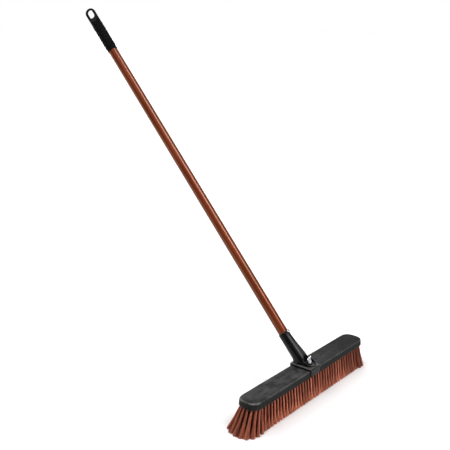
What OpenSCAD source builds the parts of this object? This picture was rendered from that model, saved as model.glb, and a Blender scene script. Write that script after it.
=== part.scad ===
// Push broom: a moulded block set with tufts, a saddle with a leaning handle socket bolted over
// the block, a coated steel tube and a push-on hand grip with a hang slot.
// The origin lies on the floor under the middle of the block. X runs along the block, -Y is the
// sweeping side, +Z is up and the handle leans towards +Y. All sizes are in millimetres.

/* [Block] */
// Length of the block
block_l = 610; // [540:5:700]
// Width of the block
block_w = 76; // [72:1:84]
// Thickness of the block
block_t = 22; // [20:1:28]
// Length of each rounded end
end_depth = 42; // [34:1:50]
// Squareness of the rounded ends, 2 is an ellipse
end_power = 2.8; // [2.2:0.1:4]
// Radius of the top edge
top_round = 5; // [2:0.5:7]
// How far the sides draw in towards the top
side_draft = 1; // [0:0.5:3]
// Chamfer along the bottom edge
bottom_chamfer = 1.5; // [0.5:0.5:3]
// Width of the solid rim round the tufted underside
rim = 2; // [1.5:0.5:3]
// Thickness of the tufted slices of the underside
slice_t = 4; // [3:0.5:6]

/* [Bristles] */
// Length of the bristles below the block
trim = 76; // [50:1:100]
// Distance between tufts along a row
tuft_pitch = 14.5; // [13:0.5:16]
// Width of a tuft where it leaves the block
tuft_base = 6; // [4.5:0.1:6.4]
// Width of a tuft at its tip
tuft_tip = 8.4; // [6:0.1:8.8]
// Width of the outermost tufts of the left end at their tips
left_tip = 15; // [9:0.5:18]
// How far the outermost tufts of the left end reach out at their tips
left_flare = 35; // [16:1:38]
// How far the outermost tufts of the right end reach out at their tips
right_flare = 20; // [16:1:36]
// How far the tufts at the ends of the rows lean out at their tips
row_flare = 14; // [0:1:16]
// How far the outer rows lean out at their tips
side_flare = 12; // [0:0.5:14]
// How far the back tufts of the left end lean out at their tips
back_flare = 27; // [5:0.5:30]

/* [Saddle] */
// Width of the saddle along the block
saddle_w = 56; // [52:1:70]
// Thickness of the saddle over the block
saddle_t = 7; // [6:0.5:9]
// Thickness of the aprons over the long sides of the block
apron_t = 3; // [2:0.5:5]
// How far the aprons stop short of the block's bottom edge
apron_gap = 4; // [2:0.5:8]
// Corner radius of the saddle in plan
saddle_corner = 7; // [4:0.5:10]
// Radius of the saddle's top edge
saddle_round = 3; // [1:0.5:4]
// Height of the round seat for the nut above the saddle
seat_h = 3; // [2:0.5:6]
// Radius of the recess in which the wing nut turns
recess_r = 18.5; // [18.2:0.1:22]
// Wall of the collar round the recess
collar_wall = 2; // [1.5:0.5:3]
// Height of the collar above the seat at its front
collar_low = 1; // [0.5:0.5:3]
// Height of the collar above the seat at its back
collar_high = 18; // [8:1:20]

/* [Handle socket] */
// Lean of the handle from the vertical
lean = 41.4; // [36:0.1:46]
// Distance of the handle axis from the block's back edge where it meets the saddle
axis_edge = 23; // [20:0.5:25]
// Length of the socket above the saddle, along the handle
socket_l = 107; // [95:1:125]
// Wall of the socket at its mouth
socket_wall = 1.9; // [1.6:0.1:3]
// Half width of the socket's foot along the block
foot_x = 23; // [21:0.5:25]
// Half depth of the socket's foot across the block
foot_y = 27; // [25:0.5:27.5]
// Distance of the foot's middle in front of the handle axis
foot_lead = 2.5; // [2:0.5:4]
// Height over which the foot flares out
foot_flare = 24; // [14:1:32]
// Rounding of the socket's mouth
mouth_round = 1; // [0.5:0.1:1.5]
// Thickness of the ribs beside the socket
rib_t = 4; // [3:0.5:6]
// Height of the ribs beside the socket
rib_h = 30; // [20:1:36]
// Width of the ridge along the socket's front
ridge_w = 5; // [4:0.5:7]
// Height of the ridge above the socket's mouth
ridge_h = 2; // [1:0.5:3]

/* [Handle] */
// Length of the handle from the saddle to the end of its tube
handle_l = 1373; // [1140:1:1540]
// Outside diameter of the tube
tube_d = 32; // [28:0.2:32.6]
// Wall of the tube
tube_wall = 1; // [0.8:0.1:1.6]
// Distance of the tube's lower end from the saddle, along the handle
tube_foot = 10; // [8:1:24]
// Depth of the tube in the grip
tube_in_grip = 124; // [110:1:126]

/* [Grip] */
// Length of the grip
grip_l = 186; // [182:1:220]
// Diameter of the grip's sleeve
grip_d = 35.8; // [35.4:0.2:37]
// Diameter of the cuff at the grip's lower end
cuff_d = 34.6; // [34.4:0.1:35.2]
// Length of the cuff at the grip's lower end
cuff_l = 14; // [8:1:18]
// Turn of the grip about the handle
grip_turn = 30; // [0:1:30]
// Thickness of the tab that holds the hang slot
tab_t = 8.5; // [7:0.5:14]
// Width of the hang slot
slot_w = 20; // [16:0.5:21]
// Length of the hang slot
slot_l = 36; // [28:1:36]
// Material left between the slot and the grip's end
slot_end = 5; // [4:0.5:8]
// Radius of the run-out below the tab
scoop_r = 60; // [40:1:80]
// Height of the bumps
bump_h = 1.3; // [0.6:0.1:1.8]
// Radius of the bumps
bump_r = 7; // [5:0.5:9]
// Number of bumps round the grip
bumps_round = 8; // [6:1:9]
// Number of bump rings along the grip
bump_rings = 9; // [6:1:9]
// Distance between bump rings
bump_pitch = 11.5; // [10:0.5:12]

/* [Fasteners] */
// Diameter of the mounting bolt
bolt_d = 7.94; // [6:0.02:8.4]
// Length of the mounting bolt under its head
bolt_l = 50.8; // [46:0.2:58]
// Diameter of the bolt's domed head
head_d = 17.5; // [15:0.1:18]
// Height of the bolt's domed head
head_h = 3.6; // [2:0.1:3.9]
// Length of the square neck under the bolt's head
neck_l = 5; // [3:0.5:8]
// Diameter of the washer
washer_d = 18; // [16:0.5:26]
// Thickness of the washer
washer_t = 4.5; // [1:0.1:6]
// Diameter of the wing nut's hub at its base
hub_d = 15; // [13:0.5:17]
// Diameter of the wing nut's hub at its top
hub_top_d = 12; // [11:0.5:13]
// Height of the wing nut's hub
hub_h = 11; // [9:0.5:13]
// Span over the wings
wing_span = 33; // [30:0.5:35]
// Height over the wings
wing_h = 19; // [17:0.5:22]
// Radius of the rounded wing ends
wing_r = 5; // [4:0.5:6]
// Thickness of the wings
wing_t = 3; // [2:0.5:4]
// Angle of the wings from the block's length
wing_turn = 15; // [0:5:90]
// Diameter of the socket screw
screw_d = 5; // [4:0.1:6]
// Diameter of the socket screw's head
screw_head_d = 10; // [8:0.5:11]
// Height of the socket screw's head
screw_head_h = 4; // [2.5:0.5:5]
// Reach of the socket screw past the tube's wall
screw_reach = 6; // [3:0.5:9]
// Distance of the socket screw below the mouth
screw_down = 3; // [1:0.5:12]
// Height of the screw's boss above the socket's mouth
boss_h = 2.5; // [1.5:0.5:4]
// Diameter of the screw's boss
boss_d = 13; // [12:0.5:14]

/* [Fits] */
// Clearance of push fits, on the radius
push_fit = 0.1; // [0.05:0.01:0.2]
// Clearance of bolt holes, on the radius
hole_fit = 0.4; // [0.3:0.05:0.6]
// Running clearance of the nut on its bolt, on the radius
thread_fit = 0.05; // [0.02:0.01:0.1]
// Gap between pieces that lie side by side
side_gap = 0.2; // [0.1:0.05:0.3]

/* [Hidden] */
$fn = 64;

resin = "#3b3b39";
rust = "#8c3f2a";
black = "#1c1c1c";
zinc = "#c9ccd0";

// Overlap that fuses two solids of one piece
bite = 1;
block_top = trim + block_t;
slice_top = trim + slice_t;
saddle_top = block_top + saddle_t;
seat_z = saddle_top + seat_h;
end_centre = block_l / 2 - end_depth;
axis_y = block_w / 2 - axis_edge;
foot_back = axis_y - foot_lead;
rows = 7;
mid_row = (rows - 1) / 2;
// Angle between points of the rounded ends' outline
arc_step = 10;
row_pitch = (block_w - 2 * rim) / rows;
// The bolt stands midway between the second row from the front and the third
bolt_y = -(row_y(2) + row_y(3)) / 2;
// Half length of the straight rows, which end where the tufts start to follow the rounded ends
row_reach = end_centre - tuft_base / 2 - bite;
tufts_half = floor((row_reach - tuft_base / 2 - bite) / tuft_pitch);
// No tuft stands nearer to the bolt than this
bolt_clear = head_d / 2 + side_gap + tuft_base / 2;
socket_r = tube_d / 2 + push_fit + socket_wall;
grip_s = handle_l - tube_in_grip;
slot_mid = grip_l - slot_end - slot_l / 2;
tube_l = handle_l - tube_foot;
screw_s = socket_l - screw_down;
// Axis distance of the face that the socket screw's head seats on
boss_face = socket_r + boss_h;

// Place of a row across the block, counted from the front
function row_y(k) = (k - 1 - mid_row) * row_pitch;

// A number raised to a power with its sign kept
function signed_pow(v, p) = sign(v) * pow(abs(v), p);

// Outline of the block in plan, drawn in by an inset
function block_outline(inset) = let (
    depth = end_depth - inset,
    half_w = block_w / 2 - inset,
    p = 2 / end_power,
    arc = [
        for (t = [-90:arc_step:90])
            [end_centre + depth * signed_pow(cos(t), p), half_w * signed_pow(sin(t), p)]
    ]
) concat(arc, [for (q = arc) -q]);

// Point on the rounded right end, drawn in by an inset, at an angle from the block's length
function end_point(a, inset) = let (
    depth = end_depth - inset,
    half_w = block_w / 2 - inset,
    r = pow(pow(abs(cos(a)) / depth, end_power) + pow(abs(sin(a)) / half_w, end_power), -1 / end_power)
) [end_centre + r * cos(a), r * sin(a)];

// Outline of a rectangle with round corners
function round_rect(hx, hy, r) = [
    for (k = [0:3])
        for (a = [0:15:90])
            let (cx = (k == 0 || k == 3 ? 1 : -1) * (hx - r), cy = (k < 2 ? 1 : -1) * (hy - r))
            [cx + r * cos(a + 90 * k), cy + r * sin(a + 90 * k)]
];

// Insets and heights of a wall that ends in a rounded top edge
function rounded_edge(r, inset, z) = [for (a = [0:18:90]) [inset + r * (1 - cos(a)), z - r + r * sin(a)]];

// Point on a cubic curve
function bezier(p, t) = p[0] * pow(1 - t, 3) + 3 * p[1] * t * pow(1 - t, 2) + 3 * p[2] * t * t * (1 - t)
    + p[3] * pow(t, 3);

// Solid skinned over rings of points that run upwards, each with as many points
module skin(rings) {
    n = len(rings[0]);
    m = len(rings);
    sides = [
        for (k = [0:m - 2])
            for (i = [0:n - 1])
                let (a = k * n + i, b = k * n + (i + 1) % n)
                each [[a, b + n, b], [a, a + n, b + n]]
    ];
    floor_face = [for (i = [0:n - 1]) i];
    roof_face = [for (i = [n - 1:-1:0]) (m - 1) * n + i];
    polyhedron([for (r = rings) each r], concat(sides, [floor_face, roof_face]));
}

// Children placed at a distance along the handle axis from the saddle, with Z along the handle
module on_handle(s) {
    translate([0, axis_y, saddle_top])
        rotate([-lean, 0, 0])
            translate([0, 0, s])
                children();
}

// Children placed on the axis of the mounting bolt at a height
module on_bolt(z) {
    translate([0, -bolt_y, z])
        children();
}

// Outer form of the block, grown sideways by a clearance where it is used as a cutter
module block_form(grow) {
    steps = concat(
        [[bottom_chamfer, trim], [0, trim + bottom_chamfer]],
        rounded_edge(top_round, side_draft, block_top)
    );
    skin([for (s = steps) [for (p = block_outline(s[0] - grow)) [p[0], p[1], s[1]]]]);
}

// Moulded block with the pocket for the tufted slices and the hole for the bolt
module block() {
    color(resin)
        difference() {
            block_form(0);
            translate([0, 0, trim - bite])
                linear_extrude(slice_t + bite)
                    polygon(block_outline(rim));
            on_bolt(trim)
                cylinder(d = bolt_d + 2 * hole_fit, h = block_t + bite);
            on_bolt(slice_top + neck_l / 2)
                cube([bolt_d + 2 * side_gap, bolt_d + 2 * side_gap, neck_l + 2 * side_gap], center = true);
        }
}

// Saddle plate with its aprons, before the block is cut out of it
module saddle_plate() {
    foot = trim + apron_gap;
    hx = saddle_w / 2;
    hy = block_w / 2 + apron_t;
    steps = concat([[0, foot]], rounded_edge(saddle_round, 0, saddle_top));
    skin([
        for (s = steps)
            [for (p = round_rect(hx - s[0], hy - s[0], saddle_corner - s[0])) [p[0], p[1], s[1]]]
    ]);
}

// Leaning boot that flares from the round mouth to its foot on the saddle
module boot() {
    axis = [0, sin(lean), cos(lean)];
    across = [0, cos(lean), -sin(lean)];
    base = [0, axis_y, saddle_top];
    foot_z = saddle_top - bite;
    foot_power = 2 / 2.5;
    run = socket_l / 2;
    function mouth_point(a, s, r) = base + axis * s + r * (cos(a) * [1, 0, 0] + sin(a) * across);
    function foot_point(a) = [
        foot_x * signed_pow(cos(a), foot_power),
        foot_back + foot_y * signed_pow(sin(a), foot_power),
        foot_z
    ];
    function side(a) = let (p = mouth_point(a, socket_l - mouth_round, socket_r), q = foot_point(a))
        [q, q + [0, 0, foot_flare], p - axis * run, p];
    turns = [for (i = [0:31]) i * 360 / 32];
    body = [for (t = [0:0.1:1]) [for (a = turns) bezier(side(a), t)]];
    lip = [for (a = turns) mouth_point(a, socket_l, socket_r - mouth_round)];
    skin(concat(body, [lip]));
}

// Rib beside the boot that braces it against the saddle
module side_rib() {
    translate([0, axis_y + rib_t / 2, saddle_top - bite])
        rotate([90, 0, 0])
            linear_extrude(rib_t)
                polygon([
                    [0, 0],
                    [saddle_w / 2 - saddle_round, 0],
                    [foot_x, rib_h / 4],
                    [socket_r, rib_h],
                    [0, rib_h]
                ]);
}

// Round seat for the nut, with a collar whose rim rises from the front to the boot
module seat_collar() {
    r = recess_r + collar_wall;
    slope = atan((collar_high - collar_low) / (2 * r));
    difference() {
        on_bolt(saddle_top - bite)
            cylinder(r = r, h = bite + seat_h + collar_high);
        translate([-r - bite, -bolt_y - r, seat_z + collar_low])
            rotate([slope, 0, 0])
                translate([0, -r, 0])
                    cube([2 * (r + bite), 4 * r, 2 * r]);
    }
}

// Saddle, boot and nut seat as one moulding
module handle_socket() {
    color(black)
        difference() {
            union() {
                saddle_plate();
                boot();
                side_rib();
                mirror([1, 0, 0])
                    side_rib();
                seat_collar();
                on_handle(screw_s)
                    rotate([90, 0, 0])
                        cylinder(d = boss_d, h = boss_face);
                on_handle(socket_l / 2)
                    translate([-ridge_w / 2, -socket_r - ridge_h, 0])
                        cube([ridge_w, socket_r, socket_l / 2 - screw_down]);
            }
            block_form(side_gap);
            on_bolt(seat_z)
                cylinder(r = recess_r, h = socket_l);
            on_bolt(trim)
                cylinder(d = bolt_d + 2 * hole_fit, h = saddle_top);
            on_handle(tube_foot)
                cylinder(d = tube_d + 2 * push_fit, h = socket_l);
            on_handle(screw_s)
                rotate([90, 0, 0])
                    cylinder(d = screw_d + 2 * push_fit, h = boss_face + bite);
        }
}

// Coated steel tube with the hole that the socket screw bites into
module handle_tube() {
    color(rust)
        on_handle(tube_foot)
            difference() {
                cylinder(d = tube_d, h = tube_l);
                translate([0, 0, -bite])
                    cylinder(d = tube_d - 2 * tube_wall, h = tube_l + 2 * bite);
                translate([0, 0, screw_s - tube_foot])
                    rotate([90, 0, 0])
                        cylinder(d = screw_d + 2 * push_fit, h = tube_d);
            }
}

// Bumps set in staggered rings round the grip's sleeve
module grip_bumps() {
    first = cuff_l + bump_r;
    for (k = [0:bump_rings - 1])
        for (i = [0:bumps_round - 1])
            rotate([0, 0, (i + (k % 2) / 2) * 360 / bumps_round])
                translate([grip_d / 2 + bump_h - bump_r, 0, first + k * bump_pitch])
                    sphere(r = bump_r, $fn = 24);
}

// Round sleeve of the grip with its cuff and domed end
module grip_sleeve() {
    r = grip_d / 2;
    dome = [for (a = [0:10:90]) [r * cos(a), grip_l - r + r * sin(a)]];
    rotate_extrude()
        polygon(concat([[0, 0], [cuff_d / 2, 0], [cuff_d / 2, cuff_l], [r, cuff_l]], dome));
}

// Cutter for one cheek of the tab: flat to the end, with a round run-out below
module tab_cheek() {
    translate([tab_t / 2 + scoop_r, 0, slot_mid])
        rotate([90, 0, 0])
            cylinder(r = scoop_r, h = 2 * grip_d, center = true);
    translate([tab_t / 2, -grip_d, slot_mid])
        cube([scoop_r, 2 * grip_d, grip_l]);
}

// Slot through the tab, round at both ends
module hang_slot() {
    half = (slot_l - slot_w) / 2;
    for (z = [-half, half])
        translate([0, 0, slot_mid + z])
            rotate([0, 90, 0])
                cylinder(d = slot_w, h = 2 * grip_d, center = true);
    translate([0, 0, slot_mid])
        cube([2 * grip_d, slot_w, 2 * half], center = true);
}

// Push-on grip, turned about the handle
module hand_grip() {
    color(black)
        on_handle(grip_s)
            rotate([0, 0, grip_turn])
                difference() {
                    union() {
                        grip_sleeve();
                        grip_bumps();
                    }
                    translate([0, 0, -bite])
                        cylinder(d = tube_d + 2 * push_fit, h = tube_in_grip + bite);
                    for (side = [0, 180])
                        rotate([0, 0, side])
                            tab_cheek();
                    hang_slot();
                }
}

// Pan-head screw through the socket into the tube
module socket_screw() {
    shank = boss_face - tube_d / 2 + screw_reach;
    edge = screw_head_h / 2;
    color(zinc)
        on_handle(screw_s)
            rotate([90, 0, 0])
                translate([0, 0, boss_face]) {
                    translate([0, 0, -shank])
                        cylinder(d = screw_d, h = shank + bite);
                    cylinder(d = screw_head_d, h = edge);
                    translate([0, 0, edge])
                        cylinder(d1 = screw_head_d, d2 = screw_head_d - 2 * edge, h = screw_head_h - edge);
                }
}

// Carriage bolt with a domed head and a square neck
module mounting_bolt() {
    dome_r = (pow(head_d / 2, 2) + pow(head_h, 2)) / (2 * head_h);
    color(zinc)
        on_bolt(slice_top) {
            intersection() {
                translate([0, 0, dome_r - head_h])
                    sphere(r = dome_r);
                translate([0, 0, -head_h])
                    cylinder(d = head_d, h = head_h);
            }
            translate([0, 0, neck_l / 2])
                cube([bolt_d, bolt_d, neck_l], center = true);
            cylinder(d = bolt_d, h = bolt_l);
        }
}

// Thick moulded washer between the nut and its seat
module flat_washer() {
    color(black)
        on_bolt(seat_z)
            difference() {
                cylinder(d = washer_d, h = washer_t);
                translate([0, 0, -bite])
                    cylinder(d = bolt_d + 2 * hole_fit, h = washer_t + 2 * bite);
            }
}

// One wing of the nut: a web that rises to a round end
module wing() {
    tip = wing_span / 2 - wing_r;
    rise = wing_h - wing_r;
    translate([0, wing_t / 2, 0])
        rotate([90, 0, 0])
            linear_extrude(wing_t) {
                translate([tip, rise])
                    circle(wing_r);
                polygon([
                    [0, hub_h / 8],
                    [hub_d / 2, hub_h / 8],
                    [tip + wing_r * cos(30), rise - wing_r * sin(30)],
                    [tip - wing_r * cos(30), rise + wing_r * sin(30)],
                    [hub_top_d / 2, hub_h],
                    [0, hub_h]
                ]);
            }
}

// Wing nut with a tapered hub
module wing_nut() {
    color(zinc)
        on_bolt(seat_z + washer_t)
            rotate([0, 0, wing_turn])
                difference() {
                    union() {
                        cylinder(d1 = hub_d, d2 = hub_top_d, h = hub_h);
                        wing();
                        rotate([0, 0, 180])
                            wing();
                    }
                    translate([0, 0, -bite])
                        cylinder(d = bolt_d + 2 * thread_fit, h = wing_h + 2 * bite);
                }
}

// Reach of the tip of a straight row's tuft, which grows towards the ends and the long sides
function row_lean(x, y) = [
    row_flare * signed_pow(x / end_centre, 4),
    side_flare * signed_pow(2 * y / block_w, 2)
];

// Part of the full flare that an arc of an end takes, from the middle to the outermost arc
function arc_share(k) = max(k, 0.5) / mid_row;

// Reach of the tip of an end's tuft, fanned out from that of the rows to the full flare of its arc
function end_lean(side, k, a) = let (
    full = (side > 0 ? right_flare : left_flare) * arc_share(k),
    back = side < 0 && a > 0 ? back_flare : side_flare
) [side * (row_flare + max(0, full - row_flare) * cos(a)), back * arc_share(k) * sin(a)];

// Width of the tip of an end's tuft
function end_tip(side, k, a) = side > 0 ? tuft_tip
    : tuft_tip + (left_tip - tuft_tip) * arc_share(k) * sqrt(cos(a));

// One four-sided tuft from its slice to the floor, where its tip is cut flat
module tuft(at, reach, tip) {
    b = tuft_base / 2;
    e = tip / 2;
    corners = [[-1, -1], [1, -1], [1, 1], [-1, 1]];
    tips = [for (c = corners) [at[0] + reach[0] + e * c[0], at[1] + reach[1] + e * c[1], 0]];
    roots = [for (c = corners) [at[0] + b * c[0], at[1] + b * c[1], trim + bite]];
    sides = [for (i = [0:3]) let (j = (i + 1) % 4) each [[i, j + 4, j], [i, i + 4, j + 4]]];
    polyhedron(concat(tips, roots), concat(sides, [[0, 1, 2], [0, 2, 3], [4, 6, 5], [4, 7, 6]]));
}

// Room in the slices for the bolt's head
module head_pocket() {
    on_bolt(trim - bite)
        cylinder(d = head_d + 2 * side_gap, h = slice_t + 2 * bite);
}

// One straight row of tufts on its slice of the underside, counted from the front
module bristle_row(k) {
    y = row_y(k);
    half_w = (row_pitch - side_gap) / 2;
    half_l = row_reach - side_gap / 2;
    color(rust) {
        difference() {
            translate([-half_l, y - half_w, trim])
                cube([2 * half_l, 2 * half_w, slice_t]);
            head_pocket();
        }
        for (i = [-tufts_half:tufts_half])
            if (norm([i * tuft_pitch, y + bolt_y]) > bolt_clear)
                tuft([i * tuft_pitch, y], row_lean(i * tuft_pitch, y), tuft_tip);
    }
}

// Tufts that follow one rounded end in arcs, with side 1 for the right and -1 for the left
module end_tufts(side) {
    color(rust) {
        intersection() {
            translate([0, 0, trim])
                linear_extrude(slice_t)
                    polygon(block_outline(rim + side_gap));
            translate([side > 0 ? row_reach + side_gap / 2 : -block_l, -block_w, 0])
                cube([block_l - row_reach - side_gap / 2, 2 * block_w, block_top]);
        }
        for (k = [0:mid_row]) {
            gaps = k == 0 ? 0 : 2 * k + 1;
            inset = block_w / 2 - max(k * row_pitch, tuft_base);
            for (i = [0:gaps]) {
                a = k == 0 ? 0 : 180 * i / gaps - 90;
                p = end_point(a, inset);
                tuft([side * p[0], p[1]], end_lean(side, k, a), end_tip(side, k, a));
            }
        }
    }
}

block();
handle_socket();
handle_tube();
hand_grip();
socket_screw();
mounting_bolt();
flat_washer();
wing_nut();
bristle_row(1);  // bristle_row_1
bristle_row(2);  // bristle_row_2
bristle_row(3);  // bristle_row_3
bristle_row(4);  // bristle_row_4
bristle_row(5);  // bristle_row_5
bristle_row(6);  // bristle_row_6
bristle_row(7);  // bristle_row_7
end_tufts(-1);  // left_end_tufts
end_tufts(1);  // right_end_tufts
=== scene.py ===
"""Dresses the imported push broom: fibre tufts, moulded resin, coated steel, rubber and zinc."""

import logging
import math
from collections.abc import Callable, Iterable, Sequence
from dataclasses import dataclass
from enum import Enum
from typing import Any

import bmesh
import bpy
import numpy as np
from mathutils import Matrix, Vector


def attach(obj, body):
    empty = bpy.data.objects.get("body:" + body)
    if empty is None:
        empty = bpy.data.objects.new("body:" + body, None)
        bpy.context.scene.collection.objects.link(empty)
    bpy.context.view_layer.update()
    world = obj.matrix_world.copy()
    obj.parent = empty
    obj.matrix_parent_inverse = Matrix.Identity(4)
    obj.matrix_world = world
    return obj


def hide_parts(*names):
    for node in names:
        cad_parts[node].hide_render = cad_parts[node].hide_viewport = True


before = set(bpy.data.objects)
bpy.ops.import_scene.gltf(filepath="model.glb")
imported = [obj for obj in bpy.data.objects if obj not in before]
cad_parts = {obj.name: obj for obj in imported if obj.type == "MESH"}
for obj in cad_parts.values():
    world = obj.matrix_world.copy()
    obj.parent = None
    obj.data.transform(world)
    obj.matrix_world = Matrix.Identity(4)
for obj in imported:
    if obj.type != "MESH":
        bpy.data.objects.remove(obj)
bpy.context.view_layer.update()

LOG = logging.getLogger("push_broom")

# Heights of the block's underside and top, and the bolt's place across it, in metres.
TRIM = 0.076
BLOCK_TOP = 0.098
BOLT_Y = -0.0154286
HANDLE_LEAN = math.radians(41.4)
ALONG_HANDLE = (HANDLE_LEAN, 0.0, 0.0)
GOLDEN_ANGLE = math.pi * (3 - math.sqrt(5))

Colour = tuple[float, float, float]
Point = tuple[float, float, float]
Range = tuple[float, float]
Shares = tuple[float, ...]
Values = dict[str | int, Any]
Mesh = bpy.types.Mesh
Ring = list[bmesh.types.BMVert]


class Body(Enum):
    """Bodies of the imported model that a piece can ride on."""

    BROOM = "broom"
    WASHER = "washer"
    NUT = "nut"


class Slot(Enum):
    """Material slots of the record, one named for each piece."""

    RESIN = "resin"
    MOULDING = "moulding"
    COATED_STEEL = "coated_steel"
    GRIP_RUBBER = "grip_rubber"
    ZINC = "zinc"
    BRISTLE = "bristle"


def maths(operation: str, reflected: bool = False) -> Callable[..., "Wire"]:
    """Makes the method of a wire that adds a Math or, for vectors, a Vector Math node.

    Args:
        operation: The node's operation.
        reflected: Whether the wire comes after the other value, so that 1 - mask works.

    Returns:
        The method.
    """

    def method(wire: "Wire", *others: Any) -> "Wire":
        """Adds the node.

        Args:
            wire: The wire.
            others: Wires or numbers that it is worked out with.

        Returns:
            The node's result.
        """
        values = (*others, wire) if reflected else (wire, *others)
        vector = any(isinstance(v, Wire) and v.socket.type == "VECTOR" for v in values)
        kind = "ShaderNodeVectorMath" if vector else "ShaderNodeMath"
        return wire.graph.node(kind, {"operation": operation}, dict(enumerate(values)))

    return method


class Wire:
    """An output socket that takes part in Python arithmetic."""

    __add__ = __radd__ = maths("ADD")
    __sub__ = maths("SUBTRACT")
    __rsub__ = maths("SUBTRACT", reflected=True)
    __mul__ = __rmul__ = maths("MULTIPLY")
    __truediv__ = maths("DIVIDE")
    __pow__ = maths("POWER")
    sin = maths("SINE")
    cos = maths("COSINE")

    def __init__(self, graph: "Graph", socket: bpy.types.NodeSocket) -> None:
        """Keeps the socket and the graph that it belongs to."""
        self.graph = graph
        self.socket = socket

    def also(self, output: str) -> "Wire":
        """Another output of the same node, by its name."""
        return Wire(self.graph, self.graph.pick(self.socket.node.outputs, output))

    def remap(
        self, low: float, high: float, new_low: float = 0.0, new_high: float = 1.0
    ) -> "Wire":
        """Carries a range smoothly over to another one and holds it at its ends.

        Args:
            low: Value that becomes new_low.
            high: Value that becomes new_high.
            new_low: Result at and below low.
            new_high: Result at and above high.

        Returns:
            The carried value.
        """
        values = {"Value": self, "From Min": low, "From Max": high}
        values |= {"To Min": new_low, "To Max": new_high}
        return self.graph.node("ShaderNodeMapRange", {"interpolation_type": "SMOOTHSTEP"}, values)


def weigh(shares: Shares, *wires: Wire) -> Wire:
    """A base value, which comes first among the shares, plus a share of each wire."""
    return sum((share * wire for share, wire in zip(shares[1:], wires)), shares[0])


class Graph:
    """A node tree of any kind, with one method that makes its nodes."""

    def __init__(self, tree: bpy.types.NodeTree) -> None:
        """Starts from an empty tree."""
        self.tree = tree
        tree.nodes.clear()

    @staticmethod
    def pick(sockets: Iterable[bpy.types.NodeSocket], key: str | int) -> bpy.types.NodeSocket:
        """Finds a socket by its place, or by its name among those in use.

        Args:
            sockets: A node's inputs or outputs.
            key: The socket's place or name.

        Returns:
            The socket.
        """
        if isinstance(key, int):
            return list(sockets)[key]
        return next(s for s in sockets if s.name == key and s.enabled)

    def node(
        self,
        kind: str,
        settings: Values | None = None,
        inputs: Values | None = None,
        output: str | int | None = None,
    ) -> Wire:
        """Makes a node, sets it up and feeds it.

        Args:
            kind: The node's type.
            settings: Its properties, which are set first.
            inputs: Values, wires or lists of wires, by the socket's name or place.
            output: The output to return, the first one in use if left out.

        Returns:
            The chosen output, or the first input of a node that has none.
        """
        made = self.tree.nodes.new(kind)
        for key, value in (settings or {}).items():
            setattr(made, key, value)
        for key, value in (inputs or {}).items():
            socket = self.pick(made.inputs, key)
            if isinstance(value, (Wire, list)):
                for wire in value if isinstance(value, list) else [value]:
                    self.tree.links.new(wire.socket, socket)
            elif socket.type == "VECTOR" and isinstance(value, (int, float)):
                socket.default_value = (value, value, value)
            elif socket.type == "RGBA" and len(value) == 3:
                socket.default_value = (*value, 1.0)
            else:
                socket.default_value = value
        if output is not None:
            return Wire(self, self.pick(made.outputs, output))
        return Wire(self, ([s for s in made.outputs if s.enabled] or made.inputs)[0])


@dataclass(frozen=True)
class Cloud:
    """A cloudy pattern: clouds to a metre, finer layers, their strength, and how it is laid."""

    scale: float
    detail: float = 3.0
    rough: float = 0.55
    stretch: Point = (1, 1, 1)
    turn: Point = (0, 0, 0)
    span: Range | None = None


class Surface(Graph):
    """A material's node tree with the patterns that several finishes use."""

    def place(self, stretch: Point = (1, 1, 1), turn: Point = (0, 0, 0)) -> Wire:
        """Object coordinates, turned and then stretched.

        Args:
            stretch: Factor along each axis after the turn.
            turn: Angles about X, Y and Z in radians.

        Returns:
            The coordinates.
        """
        coords = self.node("ShaderNodeTexCoord", output="Object")
        for values in ({"Rotation": turn}, {"Scale": stretch}):
            values["Vector"] = coords
            coords = self.node("ShaderNodeMapping", {"vector_type": "POINT"}, values)
        return coords

    def axis(self, letter: str) -> Wire:
        """One component of the object coordinates."""
        return self.node("ShaderNodeSeparateXYZ", None, {"Vector": self.place()}, letter)

    def noise(self, cloud: Cloud) -> Wire:
        """Values of a cloudy pattern from 0 to 1.

        Args:
            cloud: The pattern, whose span is carried over to 0 to 1 where it has one.

        Returns:
            The values.
        """
        values = {"Vector": self.place(cloud.stretch, cloud.turn), "Scale": cloud.scale}
        values |= {"Detail": cloud.detail, "Roughness": cloud.rough}
        made = self.node("ShaderNodeTexNoise", {"noise_dimensions": "3D"}, values, "Fac")
        return made.remap(*cloud.span) if cloud.span else made

    def cells(self, scale: float) -> Wire:
        """Distance from the nearest of scattered points, in cells."""
        values = {"Vector": self.place(), "Scale": scale}
        return self.node("ShaderNodeTexVoronoi", {"feature": "F1"}, values, "Distance")

    def stored(self, name: str) -> Wire:
        """A value that the piece's mesh holds under a name."""
        return self.node("ShaderNodeAttribute", {"attribute_name": name}, output="Fac")

    def blend(self, amount: Any, first: Any, second: Any) -> Wire:
        """Mixes two colours by an amount."""
        values = {"Factor": amount, "A": first, "B": second}
        return self.node("ShaderNodeMix", {"data_type": "RGBA"}, values, "Result")

    def relief(self, height: Wire, distance: float, strength: float) -> Wire:
        """Normal of a surface raised by a height of 0 to 1 times a distance in metres."""
        values = {"Height": height, "Distance": distance, "Strength": strength}
        return self.node("ShaderNodeBump", None, values)


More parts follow.
